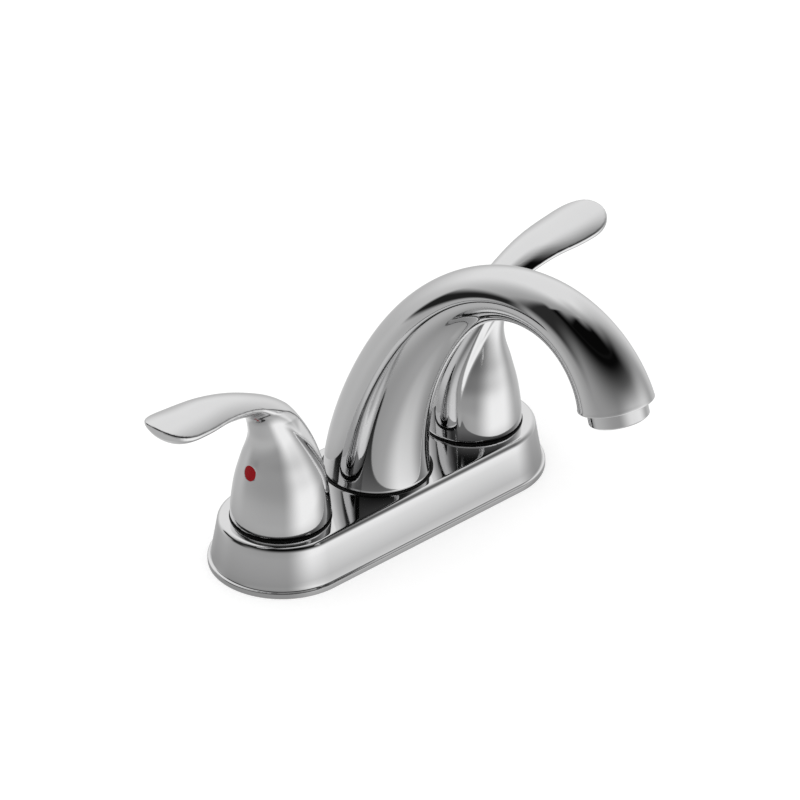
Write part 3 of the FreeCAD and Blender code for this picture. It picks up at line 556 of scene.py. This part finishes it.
def arc_points(centre, radius, first, last, count):
    angle = np.radians(np.linspace(first, last, count))
    return [(centre[0] + radius * math.cos(a), centre[1] + radius * math.sin(a)) for a in angle]


def plate_profile():
    """Inset from the foot's outline and height, from the foot up to the top's edge."""
    draft = math.degrees(math.atan(PLATE_DRAFT))
    points = [(FOOT_ROUND, 0.0)]
    points += arc_points((FOOT_ROUND, FOOT_ROUND), FOOT_ROUND, 270, 180, 4)
    points += arc_points((LIP_ROUND, LIP_HEIGHT - LIP_ROUND), LIP_ROUND, 180, 100, 6)
    points += arc_points((LIP_DEPTH - 0.1, LIP_HEIGHT + VALLEY_ROUND), VALLEY_ROUND, 280, 350 - draft, 6)
    shoulder = LIP_DEPTH + PLATE_DRAFT * (DECK_TOP - LIP_HEIGHT)
    centre = (shoulder + TOP_ROUND * math.tan(math.radians((90 - draft) / 2)), DECK_TOP - TOP_ROUND)
    edge = arc_points(centre, TOP_ROUND, 180 - draft, 90, 14)
    foot = points[-1]
    run = edge[0][0] - foot[0]
    rise = edge[0][1] - foot[1]
    for step in range(1, 5):
        points.append((foot[0] + run * step / 5, foot[1] + rise * step / 5))
    points += edge
    points.append((edge[-1][0] + TOP_RUN, DECK_TOP))
    return points


def plate_ring(radius, height):
    """Outline with round ends at a height."""
    half = PLATE_AROUND // 2
    angle = np.r_[np.linspace(-QUARTER, QUARTER, half), np.linspace(QUARTER, 3 * QUARTER, half)]
    centre = np.r_[np.full(half, PLATE_REACH), np.full(half, -PLATE_REACH)]
    y = radius * np.sin(angle) - PLATE_SHIFT
    return np.c_[centre + radius * np.cos(angle), y, np.full(PLATE_AROUND, height)]


def bridge(mesh, low, high, smooth):
    for c in range(len(low)):
        d = (c + 1) % len(low)
        mesh.faces.new((low[c], low[d], high[d], high[c])).smooth = smooth


def fill_between(mesh, loops, upward):
    """Flat face with holes: the first loop is its edge, the others are holes."""
    lines = []
    for loop in loops:
        for a, b in zip(loop, loop[1:] + loop[:1]):
            lines.append(mesh.edges.get((a, b)) or mesh.edges.new((a, b)))
    bmesh.ops.triangle_fill(mesh, edges=lines, use_beauty=True, normal=(0, 0, 1 if upward else -1))


def make_plate():
    """Hollow cover: inner wall, foot, lip, drafted side, rounded top edge, roof and holes."""
    outside = [plate_ring(PLATE_RADIUS - inset, height) for inset, height in plate_profile()]
    under = DECK_TOP - PLATE_WALL
    inner = PLATE_RADIUS - LIP_DEPTH - PLATE_WALL
    inside = [plate_ring(inner - PLATE_DRAFT * height, height) for height in (0.0, 6.0, 12.0, under)]
    mesh = bmesh.new()
    loops = []
    for ring in inside[::-1] + outside:
        loops.append([mesh.verts.new(tuple(point * MM)) for point in ring])
    for low, high in zip(loops, loops[1:]):
        bridge(mesh, low, high, True)
    top_holes = []
    low_holes = []
    for x, y, radius in PLATE_HOLES:
        rim = [(x + radius * math.cos(a), y + radius * math.sin(a)) for a in round_angles(HOLE_AROUND)]
        top_holes.append([mesh.verts.new((MM * px, MM * py, MM * DECK_TOP)) for px, py in rim])
        low_holes.append([mesh.verts.new((MM * px, MM * py, MM * under)) for px, py in rim])
        bridge(mesh, top_holes[-1], low_holes[-1], False)
    fill_between(mesh, [loops[-1]] + top_holes, True)
    fill_between(mesh, [loops[0]] + low_holes, False)
    bmesh.ops.recalc_face_normals(mesh, faces=mesh.faces)
    data = bpy.data.meshes.new("plate_casting")
    mesh.to_mesh(data)
    mesh.free()
    obj = link_object("plate_casting", data)
    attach(obj, BASE)
    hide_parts("deck_plate")
    return [(obj, "chrome")]


# Base rings
BASE_RINGS = (
    # name, centre, inner radius, outer radius, height above the plate
    ("hot", -HALF_SPACING, 16.2, 20.0, 0.4),
    ("cold", HALF_SPACING, 16.2, 20.0, 0.4),
    ("spout", 0.0, 17.1, 22.0, 0.3),
)
RING_AROUND = 128
RING_EDGE = 0.08


def make_rings():
    pieces = []
    angle = round_angles(RING_AROUND)
    for name, centre, inner, outer, height in BASE_RINGS:
        top = DECK_TOP + height
        section = ((inner, DECK_TOP), (outer, DECK_TOP), (outer, top - RING_EDGE), (outer - RING_EDGE, top),
                   (inner, top))
        verts = [(centre + r * math.cos(a), r * math.sin(a), z) for r, z in section for a in angle]
        obj = mesh_object(name + "_band", verts, closed_faces(len(section), RING_AROUND), smooth=False)
        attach(obj, BASE)
        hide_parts(name + "_base_ring")
        pieces.append((obj, "black_plastic"))
    return pieces


# Materials
FINISHES = {
    # slot: colour, metallic, roughness, texture scale, colour change, gloss change, bump
    "chrome": ((0.70, 0.70, 0.703), 1.0, 0.04, 60, 0.006, 0.008, 0.0),
    "brass": ((0.72, 0.53, 0.26), 1.0, 0.30, 180, 0.08, 0.08, 0.15),
    "black_plastic": ((0.006, 0.006, 0.006), 0.0, 0.42, 300, 0.2, 0.06, 0.0),
    "white_plastic": ((0.80, 0.80, 0.78), 0.0, 0.35, 250, 0.03, 0.06, 0.1),
    "grey_plastic": ((0.30, 0.31, 0.32), 0.0, 0.45, 250, 0.06, 0.06, 0.15),
    "red_plastic": ((0.29, 0.004, 0.008), 0.0, 0.22, 250, 0.06, 0.05, 0.05),
    "blue_plastic": ((0.010, 0.035, 0.30), 0.0, 0.22, 250, 0.06, 0.05, 0.05),
    "seal_rubber": ((0.02, 0.02, 0.022), 0.0, 0.60, 300, 0.2, 0.08, 0.2),
    "foam": ((0.06, 0.06, 0.062), 0.0, 0.85, 400, 0.3, 0.05, 0.6),
    "disc_ceramic": ((0.84, 0.84, 0.82), 0.0, 0.25, 200, 0.02, 0.04, 0.0),
    "steel": ((0.62, 0.62, 0.62), 1.0, 0.28, 220, 0.05, 0.08, 0.1),
}
SATIN_SLOTS = ("red_plastic", "blue_plastic", "black_plastic")
SATIN_SPECULAR = 0.12
BUMP_DEPTH_M = 0.0002


def new_material(name, color, metallic, rough):
    mat = bpy.data.materials.new(name)
    mat.use_nodes = True
    bsdf = mat.node_tree.nodes["Principled BSDF"]
    bsdf.inputs["Base Color"].default_value = (*color, 1)
    bsdf.inputs["Metallic"].default_value = metallic
    bsdf.inputs["Roughness"].default_value = rough
    bsdf.inputs["Coat Weight"].default_value = 0.0
    return mat, bsdf


def vary(nt, bsdf, scale, color, amount, rough, rough_amount, bump):
    """Fine uneven colour, gloss and height, so no surface is one flat value."""
    coord = nt.nodes.new("ShaderNodeTexCoord")
    noise = nt.nodes.new("ShaderNodeTexNoise")
    noise.inputs["Scale"].default_value = scale
    noise.inputs["Detail"].default_value = 4.0
    nt.links.new(coord.outputs["Object"], noise.inputs["Vector"])
    ramp = nt.nodes.new("ShaderNodeValToRGB")
    dark, light = ramp.color_ramp.elements
    dark.position = 0.3
    light.position = 0.7
    dark.color = (*[c * (1 - amount) for c in color], 1)
    light.color = (*[min(1, c * (1 + amount)) for c in color], 1)
    nt.links.new(noise.outputs["Fac"], ramp.inputs["Fac"])
    nt.links.new(ramp.outputs["Color"], bsdf.inputs["Base Color"])
    span = nt.nodes.new("ShaderNodeMapRange")
    span.inputs["To Min"].default_value = rough - rough_amount
    span.inputs["To Max"].default_value = rough + rough_amount
    nt.links.new(noise.outputs["Fac"], span.inputs["Value"])
    nt.links.new(span.outputs["Result"], bsdf.inputs["Roughness"])
    if bump:
        fine = nt.nodes.new("ShaderNodeTexNoise")
        fine.inputs["Scale"].default_value = scale * 6
        nt.links.new(coord.outputs["Object"], fine.inputs["Vector"])
        node = nt.nodes.new("ShaderNodeBump")
        node.inputs["Strength"].default_value = bump
        node.inputs["Distance"].default_value = BUMP_DEPTH_M
        nt.links.new(fine.outputs["Fac"], node.inputs["Height"])
        nt.links.new(node.outputs["Normal"], bsdf.inputs["Normal"])


def make_materials():
    materials = {}
    for slot, (color, metallic, rough, scale, amount, gloss, bump) in FINISHES.items():
        mat, bsdf = new_material("fin_" + slot, color, metallic, rough)
        vary(mat.node_tree, bsdf, scale, color, amount, rough, gloss, bump)
        if slot in SATIN_SLOTS:
            bsdf.inputs["Specular IOR Level"].default_value = SATIN_SPECULAR
        materials[slot] = mat
    return materials


# Stage, light, camera
CARDS = (
    # azimuth from the user's side, elevation, fades left right low high, level
    ((-300, 300), (88, 90), (1, 1, 24, 1), 0.5),
    ((-126, 60), (-40, 90), (55, 65, 10, 1), 0.40),
    ((-124, 22), (50, 52), (4, 72, 55, 16), 0.003),
    ((-95, 10), (58, 76), (38, 75, 16, 18), 0.003),
    ((-128, -118), (8, 40), (10, 25, 18, 10), 0.03),
    ((-300, 300), (-90, -30), (1, 1, 1, 26), 0.58),
    ((135, 300), (-30, -14), (40, 1, 12, 34), 0.6),
    ((-300, -170), (-30, -14), (1, 35, 12, 34), 0.6),
    ((112, 160), (-75, -35), (20, 25, 10, 15), 0.8),
    ((8, 34), (-30, -14), (46, 46, 64, 46), 1.2),
)
TENT_LEVEL = 1.0
TENT_RADIUS_M = 3.0
TENT_ROWS = 48
TENT_AROUND = 96
FLOOR_HALF_M = 4.0
FLOOR_GLOW = 0.45
WORLD_LEVEL = 0.72
# Painted floor shade for mirrors: sheet size and height, reach and fade from the plate's outline, strength
# and grey level
FLOOR_SHADE_HALF_M = 0.2
FLOOR_SHADE_HEIGHT_M = 0.0002
FLOOR_SHADE_END_M = 0.092
FLOOR_SHADE_WIDTH_M = 0.062
FLOOR_SHADE_POWER = 1.6
FLOOR_SHADE_SHARE = 0.75
FLOOR_SHADE_LEVEL = 0.29
FLAG_HALF_M = 0.085
FLAG_PLACE_M = (-0.160, 0.132, 0.078)
FLAG_TURN = math.radians(60)
FLAG_LEVEL = 0.018
FLAG_SIDES_M = (0.075, 0.045)
FLAG_LOW_M = (-0.036, -0.012)
FLAG_HIGH_M = (0.080, 0.020)
KEY_PLACE_M = (-0.9, -0.5, 1.3)
KEY_TARGET_M = (0, 0, 0.06)
KEY_SIZE_M = 0.7
KEY_POWER = 4.0
CAMERA_PLACE_M = (-2.286683, -2.457910, 2.175239)
CAMERA_RIGHT = (0.73031509, -0.68311043, 0.0)
CAMERA_UP = (0.36531619, 0.39056046, 0.84498912)
CAMERA_BACK = (-0.57722088, -0.61710831, 0.5347835)
CAMERA_LENS = 461.2626


def math_node(nt, operation, *inputs):
    node = nt.nodes.new("ShaderNodeMath")
    node.operation = operation
    for place, value in enumerate(inputs):
        if isinstance(value, (int, float)):
            node.inputs[place].default_value = value
        else:
            nt.links.new(value, node.inputs[place])
    return node.outputs[0]


def ramp_node(nt, value, start, end):
    """Smooth step from 0 at start to 1 at end."""
    node = nt.nodes.new("ShaderNodeMapRange")
    node.interpolation_type = "SMOOTHSTEP"
    nt.links.new(value, node.inputs["Value"])
    node.inputs["From Min"].default_value = start
    node.inputs["From Max"].default_value = end
    return node.outputs["Result"]


def product(nt, first, *others):
    for other in others:
        first = math_node(nt, "MULTIPLY", first, other)
    return first


def axes(nt, vector):
    split = nt.nodes.new("ShaderNodeSeparateXYZ")
    nt.links.new(vector, split.inputs["Vector"])
    return split.outputs["X"], split.outputs["Y"], split.outputs["Z"]


def object_place(nt):
    return nt.nodes.new("ShaderNodeTexCoord").outputs["Object"]


def mirror_piece(name, cloth, verts, faces):
    """Stage piece that only mirrors see, with the node tree of its empty material."""
    mesh = bpy.data.meshes.new(name)
    mesh.from_pydata(verts, [], faces)
    obj = link_object(name, mesh)
    mat = bpy.data.materials.new(cloth)
    mat.use_nodes = True
    mat.node_tree.nodes.clear()
    mesh.materials.append(mat)
    for kind in ("camera", "diffuse", "transmission", "volume_scatter", "shadow"):
        setattr(obj, "visible_" + kind, False)
    return obj, mat.node_tree


def glow_through(nt, level, mask=None):
    """Gives off light of a level, over clear where there is a mask."""
    glow = nt.nodes.new("ShaderNodeEmission")
    if isinstance(level, float):
        glow.inputs["Strength"].default_value = level
    else:
        nt.links.new(level, glow.inputs["Strength"])
    surface = glow.outputs["Emission"]
    if mask is not None:
        clear = nt.nodes.new("ShaderNodeBsdfTransparent")
        mix = nt.nodes.new("ShaderNodeMixShader")
        nt.links.new(mask, mix.inputs["Fac"])
        nt.links.new(clear.outputs["BSDF"], mix.inputs[1])
        nt.links.new(surface, mix.inputs[2])
        surface = mix.outputs["Shader"]
    out = nt.nodes.new("ShaderNodeOutputMaterial")
    nt.links.new(surface, out.inputs["Surface"])


def flat_square(half, height):
    return [(-half, -half, height), (half, -half, height), (half, half, height), (-half, half, height)]


def white_for_mirrors(nt):
    """1 for rays from the camera, mirrors and glass, and 0 for the light on the object.

    The chrome doesn't show it: the floor is hidden from mirrors, and the light tent covers the world.
    """
    path = nt.nodes.new("ShaderNodeLightPath")
    seen = math_node(nt, "MAXIMUM", path.outputs["Is Camera Ray"], path.outputs["Is Glossy Ray"])
    return math_node(nt, "MAXIMUM", seen, path.outputs["Is Transmission Ray"])


def make_floor():
    mesh = bpy.data.meshes.new("floor")
    mesh.from_pydata(flat_square(FLOOR_HALF_M, 0), [], [(0, 1, 2, 3)])
    obj = link_object("floor", mesh)
    mat, bsdf = new_material("floor_white", (0.8, 0.8, 0.8), 0.0, 0.9)
    nt = mat.node_tree
    bsdf.inputs["Emission Color"].default_value = (1, 1, 1, 1)
    nt.links.new(product(nt, white_for_mirrors(nt), FLOOR_GLOW), bsdf.inputs["Emission Strength"])
    mesh.materials.append(mat)
    obj.visible_glossy = False


def make_painted_floor_shade():
    """Thin grey sheet on the floor that only mirrors see: painted shade in place of the floor's shade round
    the plate. It is thickest at the plate's foot and greys what the plate's sides reflect.
    """
    square = flat_square(FLOOR_SHADE_HALF_M, FLOOR_SHADE_HEIGHT_M)
    _, nt = mirror_piece("painted_floor_shade", "painted_shade_cloth", square, [(0, 1, 2, 3)])
    x, y, _ = axes(nt, object_place(nt))
    past = math_node(nt, "SUBTRACT", math_node(nt, "ABSOLUTE", x), PLATE_REACH * MM)
    past = math_node(nt, "MAXIMUM", past, 0.0)
    aside = math_node(nt, "ABSOLUTE", y)
    far = math_node(nt, "ADD", math_node(nt, "POWER", past, 2.0), math_node(nt, "POWER", aside, 2.0))
    near = math_node(nt, "SUBTRACT", FLOOR_SHADE_END_M, math_node(nt, "SQRT", far))
    near = math_node(nt, "MAXIMUM", math_node(nt, "DIVIDE", near, FLOOR_SHADE_WIDTH_M), 0.0)
    near = math_node(nt, "MINIMUM", near, 1.0)
    # Painted shade: a grey glow, darkest at the plate's foot, standing in for the floor's shade there, which
    # mirrors don't see
    glow_through(nt, FLOOR_SHADE_LEVEL, product(nt, math_node(nt, "POWER", near, FLOOR_SHADE_POWER), FLOOR_SHADE_SHARE))


def make_flag():
    """Soft-edged black flag behind the hot side: the dark band along the arch."""
    half = FLAG_HALF_M
    square = [(-half, 0, -half), (half, 0, -half), (half, 0, half), (-half, 0, half)]
    obj, nt = mirror_piece("black_flag", "flag_cloth", square, [(0, 1, 2, 3)])
    obj.matrix_world = Matrix.Translation(FLAG_PLACE_M) @ Matrix.Rotation(FLAG_TURN, 4, "Z")
    x, _, z = axes(nt, object_place(nt))
    sides = ramp_node(nt, math_node(nt, "ABSOLUTE", x), *FLAG_SIDES_M)
    low = ramp_node(nt, z, *FLAG_LOW_M)
    high = ramp_node(nt, z, *FLAG_HIGH_M)
    glow_through(nt, FLAG_LEVEL, product(nt, sides, low, high))


def make_dome():
    """Light tent: white, with grey and black cards and one soft strip, each laid over those before it."""
    verts = []
    for row in range(TENT_ROWS + 1):
        polar = math.pi * row / TENT_ROWS
        flat = TENT_RADIUS_M * math.sin(polar)
        for c in range(TENT_AROUND):
            turn = 2 * math.pi * c / TENT_AROUND
            verts.append((flat * math.cos(turn), flat * math.sin(turn), TENT_RADIUS_M * math.cos(polar)))
    faces = closed_faces(TENT_ROWS + 1, TENT_AROUND)[:TENT_ROWS * TENT_AROUND]
    _, nt = mirror_piece("light_tent", "tent_cloth", verts, faces)
    way = nt.nodes.new("ShaderNodeVectorMath")
    way.operation = "NORMALIZE"
    nt.links.new(object_place(nt), way.inputs[0])
    x, y, z = axes(nt, way.outputs["Vector"])
    turn = math_node(nt, "ARCTAN2", x, product(nt, y, -1.0))
    azimuth = product(nt, turn, 180 / math.pi)
    elevation = product(nt, math_node(nt, "ARCSINE", z), 180 / math.pi)
    level = TENT_LEVEL
    for (left, right), (low, high), fades, shade in CARDS:
        mask = product(
            nt,
            ramp_node(nt, azimuth, left - fades[0], left),
            ramp_node(nt, azimuth, right + fades[1], right),
            ramp_node(nt, elevation, low - fades[2], low),
            ramp_node(nt, elevation, high + fades[3], high),
        )
        level = math_node(nt, "ADD", level, product(nt, mask, math_node(nt, "SUBTRACT", shade, level)))
    glow_through(nt, level)


def make_world():
    world = bpy.data.worlds.new("studio")
    bpy.context.scene.world = world
    world.use_nodes = True
    nt = world.node_tree
    back = nt.nodes["Background"]
    back.inputs["Color"].default_value = (1, 1, 1, 1)
    level = math_node(nt, "MAXIMUM", white_for_mirrors(nt), WORLD_LEVEL)
    nt.links.new(level, back.inputs["Strength"])


def make_key_light():
    data = bpy.data.lights.new("key", "AREA")
    data.shape = "RECTANGLE"
    data.size = KEY_SIZE_M
    data.size_y = KEY_SIZE_M
    data.energy = KEY_POWER
    obj = link_object("key", data)
    way = Vector(KEY_TARGET_M) - Vector(KEY_PLACE_M)
    obj.matrix_world = Matrix.Translation(KEY_PLACE_M) @ way.to_track_quat("-Z", "Y").to_matrix().to_4x4()
    obj.visible_glossy = False


def make_camera():
    data = bpy.data.cameras.new("camera")
    data.lens = CAMERA_LENS
    data.sensor_width = 36.0
    data.clip_start = 0.5
    data.clip_end = 20.0
    obj = link_object("camera", data)
    turn = Matrix((CAMERA_RIGHT, CAMERA_UP, CAMERA_BACK)).transposed().to_4x4()
    obj.matrix_world = Matrix.Translation(CAMERA_PLACE_M) @ turn
    bpy.context.scene.camera = obj


materials = make_materials()
for entry in frame["record"]["subparts"]:
    for place in NODES[entry["node"]].material_slots:
        place.material = materials[entry["material_slot"]]
for piece, slot in make_spout() + make_handles() + make_buttons() + make_plate() + make_rings():
    piece.data.materials.clear()
    piece.data.materials.append(materials[slot])

make_floor()
make_painted_floor_shade()
make_flag()
make_dome()
make_world()
make_key_light()
make_camera()
bpy.context.scene.view_settings.view_transform = "Standard"
